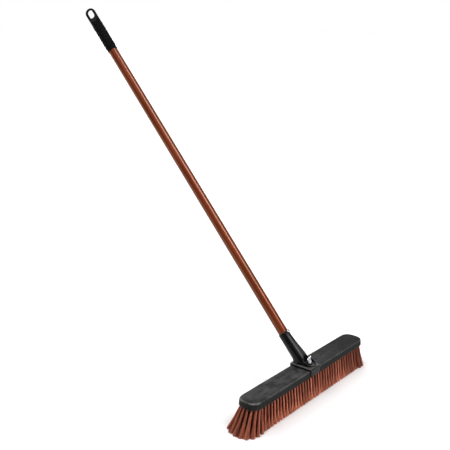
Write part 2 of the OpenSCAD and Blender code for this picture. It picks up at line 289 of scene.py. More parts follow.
@dataclass(frozen=True)
class Finish:
    """A finish that makes its material once. Its relief is a depth in metres and a strength."""

    name: str = "finish"
    gloss: float = 0.5
    relief: Range = (0.00004, 0.4)
    rough: Shares = (0.5,)

    def inputs(self, surface: Surface) -> Values:
        """What the shader's sockets are fed."""
        raise NotImplementedError

    def skin(self, surface: Surface, colour: Any, height: Wire, *uneven: Wire) -> Values:
        """Colour, relief of a height, and roughness with its share of each uneven pattern."""
        normal = surface.relief(height, *self.relief)
        return {"Base Color": colour, "Roughness": weigh(self.rough, *uneven), "Normal": normal}

    def material(self) -> bpy.types.Material:
        """Builds the material, or finds it where it is made already.

        Returns:
            The material.
        """
        made = bpy.data.materials.get(self.name)
        if made:
            return made
        made = bpy.data.materials.new(self.name)
        made.use_nodes = True
        surface = Surface(made.node_tree)
        values = {"Specular IOR Level": self.gloss, **self.inputs(surface)}
        shader = surface.node("ShaderNodeBsdfPrincipled", None, values)
        surface.node("ShaderNodeOutputMaterial", None, {"Surface": shader})
        return made


@dataclass(frozen=True)
class ResinFinish(Finish):
    """Dull moulded resin with flow marks, rubbed edges and a dusty top, painted shade on its sides
    and right end, and a painted highlight on its left end's top edge.
    """

    name: str = "moulded_resin"
    gloss: float = 0.22
    relief: Range = (0.00022, 0.55)
    deep: Colour = (0.0100, 0.0103, 0.0099)
    pale: Colour = (0.0580, 0.0594, 0.0580)
    # The rubbed colour also paints the highlight on the left end's top edge.
    rubbed: Colour = (0.150, 0.151, 0.147)
    cloud: Cloud = Cloud(26.0, 4.0, 0.62)
    flow: Cloud = Cloud(1.0, 3.0, 0.6, (9.0, 52.0, 52.0))
    grain: Cloud = Cloud(900.0, 2.0, 0.6)
    scuff: Cloud = Cloud(1.0, 2.0, 0.5, (38.0, 260.0, 260.0), span=(0.60, 0.78))
    chips: Cloud = Cloud(130.0, 3.0, 0.6, span=(0.28, 0.62))
    pits: float = 520.0
    # Painted shade: the tone is full on the dusty top and falls to a fifth on the sides below this
    # band.
    dust_and_shade_level: Range = (BLOCK_TOP - 0.0055, BLOCK_TOP - 0.0003)
    side_painted_shade: float = 0.20
    # Painted shade: the tone falls over this stretch towards the right end.
    right_shade_part: Range = (0.0, 0.26)
    right_painted_shade: float = 0.72
    # Painted highlight: over this stretch the left end's top edge brightens by the second share of
    # edge_wear.
    left_tip_highlight: Range = (-0.26, -0.30)
    tone: Shares = (0.0, 0.6, 0.4)
    tone_span: Range = (0.33, 0.68)
    edge_wear: Shares = (0.32, 0.45)
    scuff_wear: float = 0.16
    rough: Shares = (0.56, 0.16, 0.08, -0.30)
    height: Shares = (0.0, 0.55, 0.45)

    def inputs(self, surface: Surface) -> Values:
        """What the shader's sockets are fed.

        Args:
            surface: The material's tree.

        Returns:
            Wires and numbers by the name of the socket.
        """
        cloud, grain = surface.noise(self.cloud), surface.noise(self.grain)
        edge, across = surface.stored("edge"), surface.axis("X")
        # Painted shade on the sides and towards the right end, over real dust on the top.
        level = surface.axis("Z").remap(*self.dust_and_shade_level, self.side_painted_shade, 1.0)
        dust = level * (1.0 - self.right_painted_shade * across.remap(*self.right_shade_part))
        tone = weigh(self.tone, cloud, surface.noise(self.flow)).remap(*self.tone_span) * dust
        chipped = edge * surface.noise(self.chips)
        # Rubbed edges, with a painted highlight added at the left end.
        wear = chipped * weigh(self.edge_wear, across.remap(*self.left_tip_highlight))
        wear = wear + surface.noise(self.scuff) * dust * self.scuff_wear
        body = surface.blend(tone, self.deep, self.pale)
        colour = surface.blend(wear, body, self.rubbed)
        height = weigh(self.height, grain, surface.cells(self.pits))
        return self.skin(surface, colour, height, cloud, grain, edge)


@dataclass(frozen=True)
class MottledFinish(Finish):
    """A finish whose body changes in clouds from a deep to a pale colour."""

    deep: Colour = (0.0, 0.0, 0.0)
    pale: Colour = (1.0, 1.0, 1.0)
    mottle: Range = (0.3, 0.7)

    def body(self, surface: Surface, cloud: Wire) -> Wire:
        """The mottled colour."""
        return surface.blend(cloud.remap(*self.mottle), self.deep, self.pale)


@dataclass(frozen=True)
class MouldingFinish(MottledFinish):
    """Satin black moulding with a fine spark-eroded grain, dusty where it faces up."""

    name: str = "satin_moulding"
    gloss: float = 0.32
    relief: Range = (0.00010, 0.14)
    deep: Colour = (0.0024, 0.0024, 0.0025)
    pale: Colour = (0.0065, 0.0065, 0.0065)
    rubbed: Colour = (0.030, 0.030, 0.030)
    dusty: Colour = (0.090, 0.091, 0.088)
    cloud: Cloud = Cloud(46.0, 4.0, 0.6)
    grain: Cloud = Cloud(1500.0, 2.0, 0.55)
    chips: Cloud = Cloud(170.0, span=(0.35, 0.65))
    sharp: Range = (0.56, 0.86)
    facing_up: Range = (0.60, 0.95)
    dust: Shares = (0.50, 0.50)
    edge_wear: float = 0.55
    rough: Shares = (0.19, 0.12, 0.05, 0.22)

    def inputs(self, surface: Surface) -> Values:
        """What the shader's sockets are fed.

        Args:
            surface: The material's tree.

        Returns:
            Wires and numbers by the name of the socket.
        """
        cloud, grain = surface.noise(self.cloud), surface.noise(self.grain)
        edge = surface.stored("edge").remap(*self.sharp) * surface.noise(self.chips)
        dust = surface.stored("up").remap(*self.facing_up) * weigh(self.dust, cloud)
        body = surface.blend(dust, self.body(surface, cloud), self.dusty)
        colour = surface.blend(edge * self.edge_wear, body, self.rubbed)
        return self.skin(surface, colour, grain, cloud, grain, dust)


@dataclass(frozen=True)
class CoatedSteelFinish(MottledFinish):
    """Satin coat on steel tube, with the faint ripple of sprayed powder and light rub marks."""

    name: str = "satin_powder_coat"
    gloss: float = 0.70
    relief: Range = (0.00010, 0.30)
    deep: Colour = (0.122, 0.0290, 0.0095)
    pale: Colour = (0.157, 0.0370, 0.0128)
    sheen: Colour = (1.0, 0.68, 0.55)
    scratch: Colour = (0.36, 0.12, 0.075)
    cloud: Cloud = Cloud(1.0, 3.0, 0.55, (60.0, 60.0, 7.0), ALONG_HANDLE)
    ripple: Cloud = Cloud(420.0, 1.0, 0.4)
    streak: Cloud = Cloud(1.0, 2.0, 0.5, (900.0, 900.0, 26.0), ALONG_HANDLE, (0.66, 0.76))
    patch: Cloud = Cloud(9.0, 2.0, 0.5, span=(0.50, 0.64))
    rub_wear: float = 0.5
    rough: Shares = (0.15, 0.06, 0.12)
    coat: float = 0.08
    coat_rough: float = 0.14

    def inputs(self, surface: Surface) -> Values:
        """What the shader's sockets are fed.

        Args:
            surface: The material's tree.

        Returns:
            Wires and numbers by the name of the socket.
        """
        cloud = surface.noise(self.cloud)
        rub = surface.noise(self.streak) * surface.noise(self.patch)
        colour = surface.blend(rub * self.rub_wear, self.body(surface, cloud), self.scratch)
        coat = {"Coat Weight": self.coat, "Coat Roughness": self.coat_rough}
        skin = self.skin(surface, colour, surface.noise(self.ripple), cloud, rub)
        return skin | coat | {"Specular Tint": self.sheen}


@dataclass(frozen=True)
class GripRubberFinish(MottledFinish):
    """Dull black rubber with a fine stipple, dusted along the edges of its bumps."""

    name: str = "dull_rubber"
    gloss: float = 0.08
    relief: Range = (0.00016, 0.4)
    deep: Colour = (0.0012, 0.0012, 0.0013)
    pale: Colour = (0.0040, 0.0040, 0.0040)
    dusty: Colour = (0.030, 0.0295, 0.0285)
    cloud: Cloud = Cloud(70.0, 3.0, 0.6)
    specks: Cloud = Cloud(240.0, span=(0.3, 0.7))
    stipple: float = 900.0
    sharp: Range = (0.54, 0.80)
    dust: float = 0.5
    rough: Shares = (0.42, 0.20)

    def inputs(self, surface: Surface) -> Values:
        """What the shader's sockets are fed.

        Args:
            surface: The material's tree.

        Returns:
            Wires and numbers by the name of the socket.
        """
        cloud = surface.noise(self.cloud)
        edge = surface.stored("edge").remap(*self.sharp)
        dust = edge * surface.noise(self.specks) * self.dust
        colour = surface.blend(dust, self.body(surface, cloud), self.dusty)
        return self.skin(surface, colour, surface.cells(self.stipple), cloud)


@dataclass(frozen=True)
class ZincFinish(MottledFinish):
    """Bright zinc plate with a cloudy passivated bloom and fine tool marks."""

    name: str = "bright_zinc"
    deep: Colour = (0.70, 0.71, 0.73)
    pale: Colour = (0.46, 0.48, 0.53)
    mottle: Range = (0.38, 0.68)
    cloud: Cloud = Cloud(190.0, 4.0, 0.6)
    fine: Cloud = Cloud(2600.0, 2.0, 0.5)
    rough: Shares = (0.20, 0.18, 0.06)

    def inputs(self, surface: Surface) -> Values:
        """What the shader's sockets are fed."""
        cloud, fine = surface.noise(self.cloud), surface.noise(self.fine)
        return {"Metallic": 1.0} | self.skin(surface, self.body(surface, cloud), fine, cloud, fine)


@dataclass(frozen=True)
class BristleFinish(Finish):
    """Drawn fibre that differs from strand to strand, with painted shade on the inner tufts, and
    pales towards the trimmed tips.
    """

    name: str = "drawn_fibre"
    gloss: float = 0.45
    relief: Range = (0.00008, 0.4)
    deep: Colour = (0.090, 0.0140, 0.0060)
    pale: Colour = (0.680, 0.2550, 0.1600)
    tip: Colour = (0.620, 0.2450, 0.1500)
    crimp: Cloud = Cloud(1.0, 1.0, 0.4, (700.0, 700.0, 160.0))
    tip_part: Range = (0.35, 1.05)
    paling: Shares = (0.08, 0.62)
    rough: Shares = (0.38, 0.20)

    def inputs(self, surface: Surface) -> Values:
        """What the shader's sockets are fed.

        Args:
            surface: The material's tree.

        Returns:
            Wires and numbers by the name of the socket.
        """
        # The strand value holds painted shade, which keeps the inner tufts near the deep colour.
        strand = surface.stored("strand")
        body = surface.blend(strand, self.deep, self.pale)
        down = (1.0 - surface.axis("Z") / TRIM).remap(*self.tip_part)
        colour = surface.blend(down * weigh(self.paling, strand), body, self.tip)
        return self.skin(surface, colour, surface.noise(self.crimp), strand)


@dataclass(frozen=True)
class PaperFinish(Finish):
    """Plain matt paper of the studio's floor."""

    name: str = "floor_paper"
    gloss: float = 0.1
    rough: Shares = (0.85,)
    tone: float = 0.70

    def inputs(self, surface: Surface) -> Values:
        """What the shader's sockets are fed."""
        return {"Base Color": (self.tone, self.tone, self.tone), "Roughness": weigh(self.rough)}


class Bench:
    """Makes meshes and objects, and fastens finished pieces to the frame."""

    FLAT = 0.5
    EDGE_GAIN = 2.2
    EDGE_PASSES = 3
    MERGED = 1e-7
    PACKED_MERGED = 1e-6

    @staticmethod
    def mesh(name: str, points: Sequence[Point], faces: Sequence[Sequence[int]]) -> Mesh:
        """A mesh from points in metres and the corners of faces, which point outwards."""
        (made := bpy.data.meshes.new(name)).from_pydata(points, [], faces)
        return Bench.joined(name, [made], Bench.MERGED, outwards=True)

    @staticmethod
    def lathe(name: str, profile: Sequence[Range], turns: int) -> Mesh:
        """A body of revolution about Z.

        Args:
            name: The mesh's name.
            profile: Radius and height of each point of a closed outline.
            turns: Segments round the axis.

        Returns:
            The mesh.
        """
        points, faces, count = [], [], len(profile)
        for i in range(turns):
            a = math.tau * i / turns
            points += [(r * math.cos(a), r * math.sin(a), z) for r, z in profile]
            here, there = i * count, (i + 1) % turns * count
            for j in range(count):
                k = (j + 1) % count
                if profile[j][0] > 0 or profile[k][0] > 0:
                    faces.append((here + j, there + j, there + k, here + k))
        return Bench.mesh(name, points, faces)

    @staticmethod
    def smooth(mesh: Mesh, degrees: float) -> None:
        """Shades a mesh smooth up to an angle between its faces."""
        mesh.shade_smooth()
        mesh.set_sharp_from_angle(angle=math.radians(degrees))

    @staticmethod
    def placed(name: str, data: Any) -> bpy.types.Object:
        """A new object in the scene, which holds some data."""
        bpy.context.scene.collection.objects.link(made := bpy.data.objects.new(name, data))
        return made

    @staticmethod
    def settled(holder: bpy.types.Object) -> Mesh:
        """Works out an object's modifiers.

        Args:
            holder: The object, which is used up.

        Returns:
            The result as a plain mesh.
        """
        graph = bpy.context.evaluated_depsgraph_get()
        made = bpy.data.meshes.new_from_object(holder.evaluated_get(graph))
        holder.modifiers.clear()
        bpy.data.objects.remove(holder)
        return made

    @staticmethod
    def bake(mesh: Mesh, *modifiers: tuple[str, Values]) -> Mesh:
        """Runs a mesh through modifiers and returns the plain result.

        Args:
            mesh: The mesh to start from.
            modifiers: Type and settings of each modifier, in order.

        Returns:
            The finished mesh.
        """
        holder = Bench.placed(mesh.name + "_holder", mesh)
        for kind, settings in modifiers:
            modifier = holder.modifiers.new(kind.lower(), kind)
            for key, value in settings.items():
                setattr(modifier, key, value)
        return Bench.settled(holder)

    @staticmethod
    def moulded(node: str, voxel: float, passes: int, *added: Mesh) -> Mesh:
        """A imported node's shape with its edges and inner corners softened as a mould leaves them.

        Args:
            node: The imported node.
            voxel: Size of the cells that the shape is rebuilt from, in metres.
            passes: Smoothing passes over the rebuilt shape.
            added: Meshes that are merged into the shape, which are used up.

        Returns:
            The softened mesh, with the values edge and up stored on it.
        """
        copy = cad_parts[node].data.copy()
        copy.materials.clear()
        made = Bench.bake(
            Bench.joined(node + "_whole", [copy, *added], Bench.PACKED_MERGED),
            ("REMESH", {"mode": "VOXEL", "voxel_size": voxel, "adaptivity": 0.0}),
            ("SMOOTH", {"factor": 0.5, "iterations": passes}),
        )
        Bench.store_edges(made, voxel)
        made.shade_smooth()
        return made

    @staticmethod
    def store_edges(mesh: Mesh, size: float) -> None:
        """Stores how convex each point is, from 0.5 on a flat to 1, and how far it faces up.

        Args:
            mesh: An evenly spaced mesh.
            size: Its usual edge length, in metres.
        """
        count = len(mesh.vertices)
        place, normal = np.zeros(count * 3), np.zeros(count * 3)
        ends = np.zeros(len(mesh.edges) * 2, dtype=np.int32)
        mesh.vertices.foreach_get("co", place)
        mesh.vertex_normals.foreach_get("vector", normal)
        mesh.edges.foreach_get("vertices", ends)
        place, normal, ends = place.reshape(-1, 3), normal.reshape(-1, 3), ends.reshape(-1, 2)
        first, second = ends[:, 0], ends[:, 1]
        step = place[second] - place[first]
        near = np.bincount(first, minlength=count) + np.bincount(second, minlength=count)
        near = np.maximum(near, 1)
        fall = np.bincount(first, -(step * normal[first]).sum(1), count)
        fall += np.bincount(second, (step * normal[second]).sum(1), count)
        value = fall / near / size
        for _ in range(Bench.EDGE_PASSES):
            spread = np.bincount(first, value[second], count)
            spread = spread + np.bincount(second, value[first], count)
            value = 0.5 * value + 0.5 * spread / near
        edge = np.clip(Bench.FLAT + Bench.EDGE_GAIN * value, 0.0, 1.0)
        for name, values in (("edge", edge), ("up", normal[:, 2])):
            held = mesh.attributes.new(name, "FLOAT", "POINT")
            held.data.foreach_set("value", np.ascontiguousarray(values, dtype=np.float32))

    @staticmethod
    def joined(
        name: str, meshes: Sequence[Mesh], merged: float = 0.0, outwards: bool = False
    ) -> Mesh:
        """Several meshes as one.

        Args:
            name: The new mesh's name.
            meshes: The meshes, which are used up.
            merged: Distance at which points are merged, in metres, if any.
            outwards: Whether the faces are turned outwards.

        Returns:
            The joined mesh.
        """
        shape = bmesh.new()
        for mesh in meshes:
            shape.from_mesh(mesh)
            bpy.data.meshes.remove(mesh)
        if merged:
            bmesh.ops.remove_doubles(shape, verts=shape.verts, dist=merged)
        if outwards:
            bmesh.ops.recalc_face_normals(shape, faces=shape.faces)
        made = bpy.data.meshes.new(name)
        shape.to_mesh(made)
        shape.free()
        return made

    @staticmethod
    def fasten(
        name: str, mesh: Mesh, body: Body, slot: Slot, finish: Finish | None, node: str
    ) -> None:
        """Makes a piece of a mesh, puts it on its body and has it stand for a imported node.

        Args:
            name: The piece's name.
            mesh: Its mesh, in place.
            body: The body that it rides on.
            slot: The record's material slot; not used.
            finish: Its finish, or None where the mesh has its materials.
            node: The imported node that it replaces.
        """
        piece = Bench.placed(name, mesh)
        if finish:
            mesh.materials.clear()
            mesh.materials.append(finish.material())
        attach(piece, body.value)
        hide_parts(node)
        mesh.calc_loop_triangles()
        LOG.info("%s: %d triangles on %s", name, len(mesh.loop_triangles), body.value)


class Growth(Graph):
    """A Geometry Nodes tree with named inputs, grown on a mesh into a plain mesh."""

    def __init__(self, name: str, inputs: dict[str, str]) -> None:
        """Starts the tree.

        Args:
            name: The tree's name.
            inputs: Kind of each named input.
        """
        super().__init__(bpy.data.node_groups.new(name, "GeometryNodeTree"))
        self.names = {}
        for way in ("OUTPUT", "INPUT"):
            self._socket("Geometry", way, "Geometry")
        for label, kind in inputs.items():
            self.names[label] = self._socket(label, "INPUT", kind)
        self.source = self.node("NodeGroupInput", output="Geometry")

    def _socket(self, label: str, way: str, kind: str) -> str:
        """Adds a socket to the tree's outside and returns its identifier."""
        sockets = self.tree.interface
        return sockets.new_socket(label, in_out=way, socket_type="NodeSocket" + kind).identifier

    def value(self, label: str) -> Wire:
        """The wire of a named input."""
        return self.source.also(label)

    def chance(self, low: float, high: float, salt: int) -> Wire:
        """A random number for each point, fixed by the input Seed and a salt."""
        values = {"Min": low, "Max": high, "Seed": self.value("Seed") + salt}
        return self.node("FunctionNodeRandomValue", {"data_type": "FLOAT"}, values, "Value")

    def named(self, name: str, kind: str = "FLOAT_VECTOR") -> Wire:
        """A stored value."""
        settings = {"data_type": kind}
        return self.node("GeometryNodeInputNamedAttribute", settings, {"Name": name}, "Attribute")

    def vector(self, x: Any, y: Any, z: Any) -> Wire:
        """A vector of three numbers."""
        return self.node("ShaderNodeCombineXYZ", None, {"X": x, "Y": y, "Z": z})

    def store(self, points: Wire, name: str, field: Wire, kind: str = "FLOAT_VECTOR") -> Wire:
        """Stores a value on each point under a name."""
        values, settings = {"Geometry": points, "Name": name, "Value": field}, {"domain": "POINT"}
        return self.node("GeometryNodeStoreNamedAttribute", {"data_type": kind} | settings, values)

    def strewn(self, points: Wire, shape: Wire) -> Wire:
        """A real copy of a shape at each point."""
        copies = {"Points": points, "Instance": shape}
        return self.real(self.node("GeometryNodeInstanceOnPoints", None, copies))

    def real(self, geometry: Wire) -> Wire:
        """Geometry with its instances made real."""
        return self.node("GeometryNodeRealizeInstances", None, {"Geometry": geometry})

    def swept(self, curve: Wire, sides: int, radius: Wire) -> Wire:
        """Closed rods with a number of sides along curves."""
        values = {"Curve": curve, "Fill Caps": True, "Profile Curve": self.ring(sides, radius)}
        return self.node("GeometryNodeCurveToMesh", None, values)

    def ring(self, sides: int, radius: Wire) -> Wire:
        """A ring with a number of sides."""
        values = {"Resolution": sides, "Radius": radius}
        return self.node("GeometryNodeCurvePrimitiveCircle", {"mode": "RADIUS"}, values)

    def finish(self, **parts: Wire) -> None:
        """Makes each part real, gives it the material input of its name, and ends the tree.

        Args:
            parts: Geometry by the name of its material input.
        """
        dressed = []
        for label, geometry in parts.items():
            values = {"Geometry": self.real(geometry), "Material": self.value(label)}
            dressed.append(self.node("GeometryNodeSetMaterial", None, values))
        whole = self.node("GeometryNodeJoinGeometry", None, {"Geometry": dressed})
        self.node("NodeGroupOutput", None, {"Geometry": whole})

    def grow(self, mesh: Mesh, values: Values) -> Mesh:
        """Grows the tree on a mesh.

        Args:
            mesh: The mesh that the tree starts from.
            values: Value of each named input.

        Returns:
            The result as a plain mesh.
        """
        holder = Bench.placed(mesh.name + "_holder", mesh)
        modifier = holder.modifiers.new("growth", "NODES")
        modifier.node_group = self.tree
        for label, value in values.items():
            modifier[self.names[label]] = value
        return Bench.settled(holder)


@dataclass
class Block:
    """The moulded block, with the sizes that the tufts follow."""

    length: float = 0.610
    width: float = 0.076
    low: float = TRIM
    high: float = BLOCK_TOP
    end_depth: float = 0.042
    end_power: float = 2.8
    end_steps: int = 40
    top_round: float = 0.005
    round_steps: int = 8
    top_rim: float = 0.004
    draft: float = 0.001
    chamfer: float = 0.0015
    chamfer_lip: float = 0.0004
    chamfer_ease: float = 0.001
    low_wear: float = 0.5
    lip_wear: float = 0.9
    pocket_r: float = 0.00895
    pocket_h: float = 0.004
    pocket_steps: int = 40

    @property
    def end_centre(self) -> float:
        """Distance from the middle at which the rounded ends begin."""
        return self.length / 2 - self.end_depth

    def outline(self, inset: float) -> list[Range]:
        """The block's plan, drawn in by an inset.

        Args:
            inset: How far it is drawn in.

        Returns:
            Points of the outline, counter-clockwise.
        """
        depth, half, power = self.end_depth - inset, self.width / 2 - inset, 2 / self.end_power
        arc = []
        for i in range(self.end_steps + 1):
            a = math.pi * (i / self.end_steps - 0.5)
            c, s = max(math.cos(a), 0.0), math.sin(a)
            y = half * math.copysign(abs(s) ** power, s)
            arc.append((self.end_centre + depth * c**power, y))
        return arc + [(-x, -y) for x, y in arc]

    def end_point(self, angle: float, inset: float) -> Range:
        """A point of the rounded right end.

        Args:
            angle: Direction from the end's centre.
            inset: How far the outline is drawn in.

        Returns:
            The point in plan.
        """
        depth, half, p = self.end_depth - inset, self.width / 2 - inset, self.end_power
        c, s = math.cos(angle), math.sin(angle)
        r = ((abs(c) / depth) ** p + (abs(s) / half) ** p) ** (-1 / p)
        return self.end_centre + r * c, r * s

    def _rings(self) -> list[Point]:
        """Inset, height and wear of each ring round the block, from its underside to its top.

        Returns:
            The rings.
        """
        lip = self.low + self.chamfer
        rings = [(self.chamfer, self.low, self.low_wear), (self.chamfer_lip, lip, self.lip_wear)]
        rings.append((0.0, lip + self.chamfer_ease, 0.0))
        rings.append((self.draft, self.high - self.top_round, 0.0))
        for i in range(1, self.round_steps + 1):
            a = math.pi / 2 * i / self.round_steps
            inset = self.draft + self.top_round * (1 - math.cos(a))
            rings.append((inset, self.high - self.top_round * (1 - math.sin(a)), math.sin(2 * a)))
        return rings + [(self.draft + self.top_round + self.top_rim, self.high, 0.0)]

    def shape(self) -> Mesh:
        """The block with its rounded top edge and the pocket for the bolt's head.

        Returns:
            The mesh, with the wear of its edges stored under the name edge.
        """
        shape = bmesh.new()
        wear = shape.verts.layers.float.new("edge")
        loops = []
        for inset, z, edge in self._rings():
            loops.append([shape.verts.new((x, y, z)) for x, y in self.outline(inset)])
            for vert in loops[-1]:
                vert[wear] = edge
        for lower, upper in zip(loops, loops[1:]):
            self._wall(shape, lower, upper)
        shape.faces.new(loops[-1])
        self._underside(shape, loops[0])
        bmesh.ops.recalc_face_normals(shape, faces=shape.faces)
        made = bpy.data.meshes.new("block_shape")
        shape.to_mesh(made)
        shape.free()
        Bench.smooth(made, degrees=40)
        return made

    @staticmethod
    def _wall(shape: bmesh.types.BMesh, lower: Ring, upper: Ring) -> None:
        """Joins two rings of as many points by faces."""
        for corners in zip(lower, lower[1:] + lower[:1], upper[1:] + upper[:1], upper):
            shape.faces.new(corners)

    def _underside(self, shape: bmesh.types.BMesh, rim: Ring) -> None:
        """Closes the underside round a blind pocket for the bolt's head.

        Args:
            shape: The block so far.
            rim: Its lowest ring.
        """
        mouth, roof = [], []
        for i in range(self.pocket_steps):
            a = math.tau * i / self.pocket_steps
            x, y = self.pocket_r * math.cos(a), BOLT_Y + self.pocket_r * math.sin(a)
            mouth.append(shape.verts.new((x, y, self.low)))
            roof.append(shape.verts.new((x, y, self.low + self.pocket_h)))
        edges = []
        for loop in (rim, mouth):
            for i, vert in enumerate(loop):
                pair = (vert, loop[(i + 1) % len(loop)])
                edges.append(shape.edges.get(pair) or shape.edges.new(pair))
        bmesh.ops.triangle_fill(shape, edges=edges, use_beauty=True, normal=(0, 0, -1))
        self._wall(shape, roof, mouth)
        shape.faces.new(roof)

    def build(self) -> None:
        """Makes and fastens the block."""
        finish = ResinFinish()
        Bench.fasten("block_shell", self.shape(), Body.BROOM, Slot.RESIN, finish, "block")


@dataclass(frozen=True)
class Tuft:
    """One tuft: its root, the reach of its tip, the splay of its fibres, and if it is outside."""

    root: Point
    reach: Point
    splay: Point
    outside: bool


@dataclass(frozen=True)
class RoundedEnd:
    """How the tufts of an end lean and splay, in arcs.

    Attributes:
        flare: Reach of its outermost tips along the block.
        row_flare: Reach of the last tips of the rows beside it.
        back_flare: Reach of its tips to the back.
        splay: Splay of its outermost tufts.
        arcs: Place of each arc, in rows from the middle, and its number of gaps.
        outer_arc: Place of the first arc that is seen from outside.
        fill_from: Angle from which an arc between two rows has tufts.
    """

    flare: float
    row_flare: float
    back_flare: float
    splay: float
    arcs: tuple[tuple[float, int], ...]
    outer_arc: float
    fill_from: float


@dataclass
class Tufts:
    """The fibre tufts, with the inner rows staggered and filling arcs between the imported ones."""

    block: Block
    rows: int = 7
    rim: float = 0.002
    pitch: float = 0.0145
    stagger: Shares = (0.0, -0.15, -0.30, 0.0, 0.25, 0.45, 0.0)
    base: float = 0.006
    bite: float = 0.001
    left: RoundedEnd = RoundedEnd(
        flare=0.037,
        row_flare=0.014,
        back_flare=0.029,
        splay=0.0080,
        arcs=((0, 0), (1, 5), (2, 8), (2.5, 8), (3, 9)),
        outer_arc=3,
        fill_from=0.3,
    )
    right: RoundedEnd = RoundedEnd(
        flare=0.013,
        row_flare=0.010,
        back_flare=0.012,
        splay=0.0060,
        arcs=((0, 0), (1, 5), (2, 8), (2.5, 6), (3, 7)),
        outer_arc=2.5,
        fill_from=-math.pi,
    )
    side_flare: float = 0.012
    row_power: float = 4
    share_power: float = 0.7
    least_arc: float = 0.5
    inner_splay: float = 1.5
    head_r: float = 0.00895
    row_root: float = 0.0021
    end_root: float = 0.0023
    row_splay: float = 0.0042
    row_spread: float = 0.0070
    row_fibres: int = 52
    end_fibres: int = 90
    row_opening: float = 3.4
    end_opening: float = 1.9
    fibre_radius: float = 0.00050
    fibre_sides: int = 3
    knots: int = 6
    sink: float = 0.002
    lift: float = 0.0016
    lift_power: float = 2.5
    wave: float = 0.0006
    waves: float = 1.6
    jitter: float = 0.4
    stray: float = 0.34
    # Painted shade: inner tufts take a low shade and a cut tone, outer ones a high shade.
    inner_shade: float = 0.25
    outer_shade: float = 0.5
    clumps: float = 420.0
    clump_span: Range = (0.32, 0.68)
    clump_tone: float = 0.48
    fibre_tone: float = 0.22
    inner_tone: float = 0.40
    shade_tone: float = 0.30
    hole_sides: int = 12
    hole_mouth: float = 1.12
    hole_throat: float = 1.32
    hole_depth: float = 0.0006
    first_seed: int = 7
    seed_step: int = 40

    @property
    def middle(self) -> float:
        """Number of rows on each side of the middle one."""
        return (self.rows - 1) / 2

    @property
    def row_pitch(self) -> float:
        """Distance between the rows."""
        return (self.block.width - 2 * self.rim) / self.rows

    def row_lean(self, x: float, y: float) -> Point:
        """Reach of a row tuft's tip, which grows towards the ends and the long sides.

        Args:
            x: The tuft's place along the block.
            y: Its place across the block.

        Returns:
            The reach.
        """
        flare = (self.right if x > 0 else self.left).row_flare
        along = math.copysign(flare * (x / self.block.end_centre) ** self.row_power, x)
        return along, math.copysign(self.side_flare * (2 * y / self.block.width) ** 2, y), 0.0

    def row(self, k: int) -> list[Tuft]:
        """The tufts of a straight row.

        Args:
            k: The row, counted from the front.

        Returns:
            The tufts.
        """
        y = (k - 1 - self.middle) * self.row_pitch
        reach = self.block.end_centre - self.base - 2 * self.bite
        half = math.floor(reach / self.pitch)
        clear = self.head_r + self.base / 2
        shift = self.stagger[k - 1] * self.pitch
        splay = (self.row_spread, self.row_splay, 0.0)
        made = []
        for i in range(-half - 1, half + 2):
            x = i * self.pitch + shift
            if abs(x) <= reach and math.hypot(x, y - BOLT_Y) > clear:
                root = (x, y, self.block.low)
                made.append(Tuft(root, self.row_lean(x, y), splay, k in (1, self.rows)))
        return made

    def end(self, side: int) -> list[Tuft]:
        """The tufts of a rounded end.

        Args:
            side: 1 for the right end and -1 for the left.

        Returns:
            The tufts.
        """
        made, end = [], self.right if side > 0 else self.left
        for k, gaps in end.arcs:
            inset = self.block.width / 2 - max(k * self.row_pitch, self.base)
            share = (max(k, self.least_arc) / self.middle) ** self.share_power
            for i in range(gaps + 1):
                a = math.pi * (i / gaps - 0.5) if k else 0.0
                if k % 1 and a < end.fill_from:
                    continue
                x, y = self.block.end_point(a, inset)
                out = max(math.cos(a), 0.0)
                ahead = end.row_flare + max(0.0, end.flare * share - end.row_flare) * out
                sideways = end.back_flare if a > 0 else self.side_flare
                reach = (side * ahead, sideways * share * math.sin(a), 0.0)
                splay = self.row_splay + (end.splay - self.row_splay) * share * math.sqrt(out)
                splay *= 1.0 if k == self.middle else self.inner_splay
                root = (side * x, y, self.block.low)
                made.append(Tuft(root, reach, (splay, splay, 0.0), k >= end.outer_arc))
        return made

    def seeds(self, name: str, tufts: Sequence[Tuft], seed: int) -> Mesh:
        """Points that the fibres grow from, with each tuft's reach, splay and shade stored.

        Args:
            name: The mesh's name.
            tufts: The tufts.
            seed: Seed of the tufts' shades, which are painted paler on the outside and darker
                inside, as painted light and shade.

        Returns:
            The mesh of points.
        """
        made = bpy.data.meshes.new(name)
        made.from_pydata([tuft.root for tuft in tufts], [], [])
        for label in ("reach", "splay"):
            held = made.attributes.new(label, "FLOAT_VECTOR", "POINT")
            held.data.foreach_set("vector", [v for tuft in tufts for v in getattr(tuft, label)])
        shade = made.attributes.new("shade", "FLOAT", "POINT")
        drawn = np.random.default_rng(seed).random(len(tufts))
        outside = np.array([tuft.outside for tuft in tufts])
        outside_painted_light = self.outer_shade + (1.0 - self.outer_shade) * drawn
        shade.data.foreach_set("value", np.where(outside, outside_painted_light, self.inner_shade * drawn))
        return made

    def growth(self) -> Growth:
        """The tree that grows bundles of fibres from points, each in its drilled hole.

        Returns:
            The tree with its named inputs.
        """
        sizes = ("Root Radius", "Fibre Radius", "Trim", "Lift", "Wave", "Opening")
        kinds = dict.fromkeys(("Fibres", "Seed"), "Int") | dict.fromkeys(sizes, "Float")
        made = Growth("tuft_growth", kinds | dict.fromkeys(("Fibre", "Hole"), "Material"))
        tufts = made.node("GeometryNodeMeshToPoints", {"mode": "VERTICES"}, {"Mesh": made.source})
        radius = made.value("Root Radius")
        cone = {"Vertices": self.hole_sides, "Depth": self.hole_depth}
        cone |= {"Radius Top": radius * self.hole_throat, "Radius Bottom": radius * self.hole_mouth}
        ring = made.node("GeometryNodeMeshCone", {"fill_type": "NONE"}, cone)
        lines = self._lines(made, self._strands(made, tufts))
        fibres = made.swept(lines, self.fibre_sides, made.value("Fibre Radius"))
        made.finish(Hole=made.strewn(tufts, ring), Fibre=fibres)
        return made

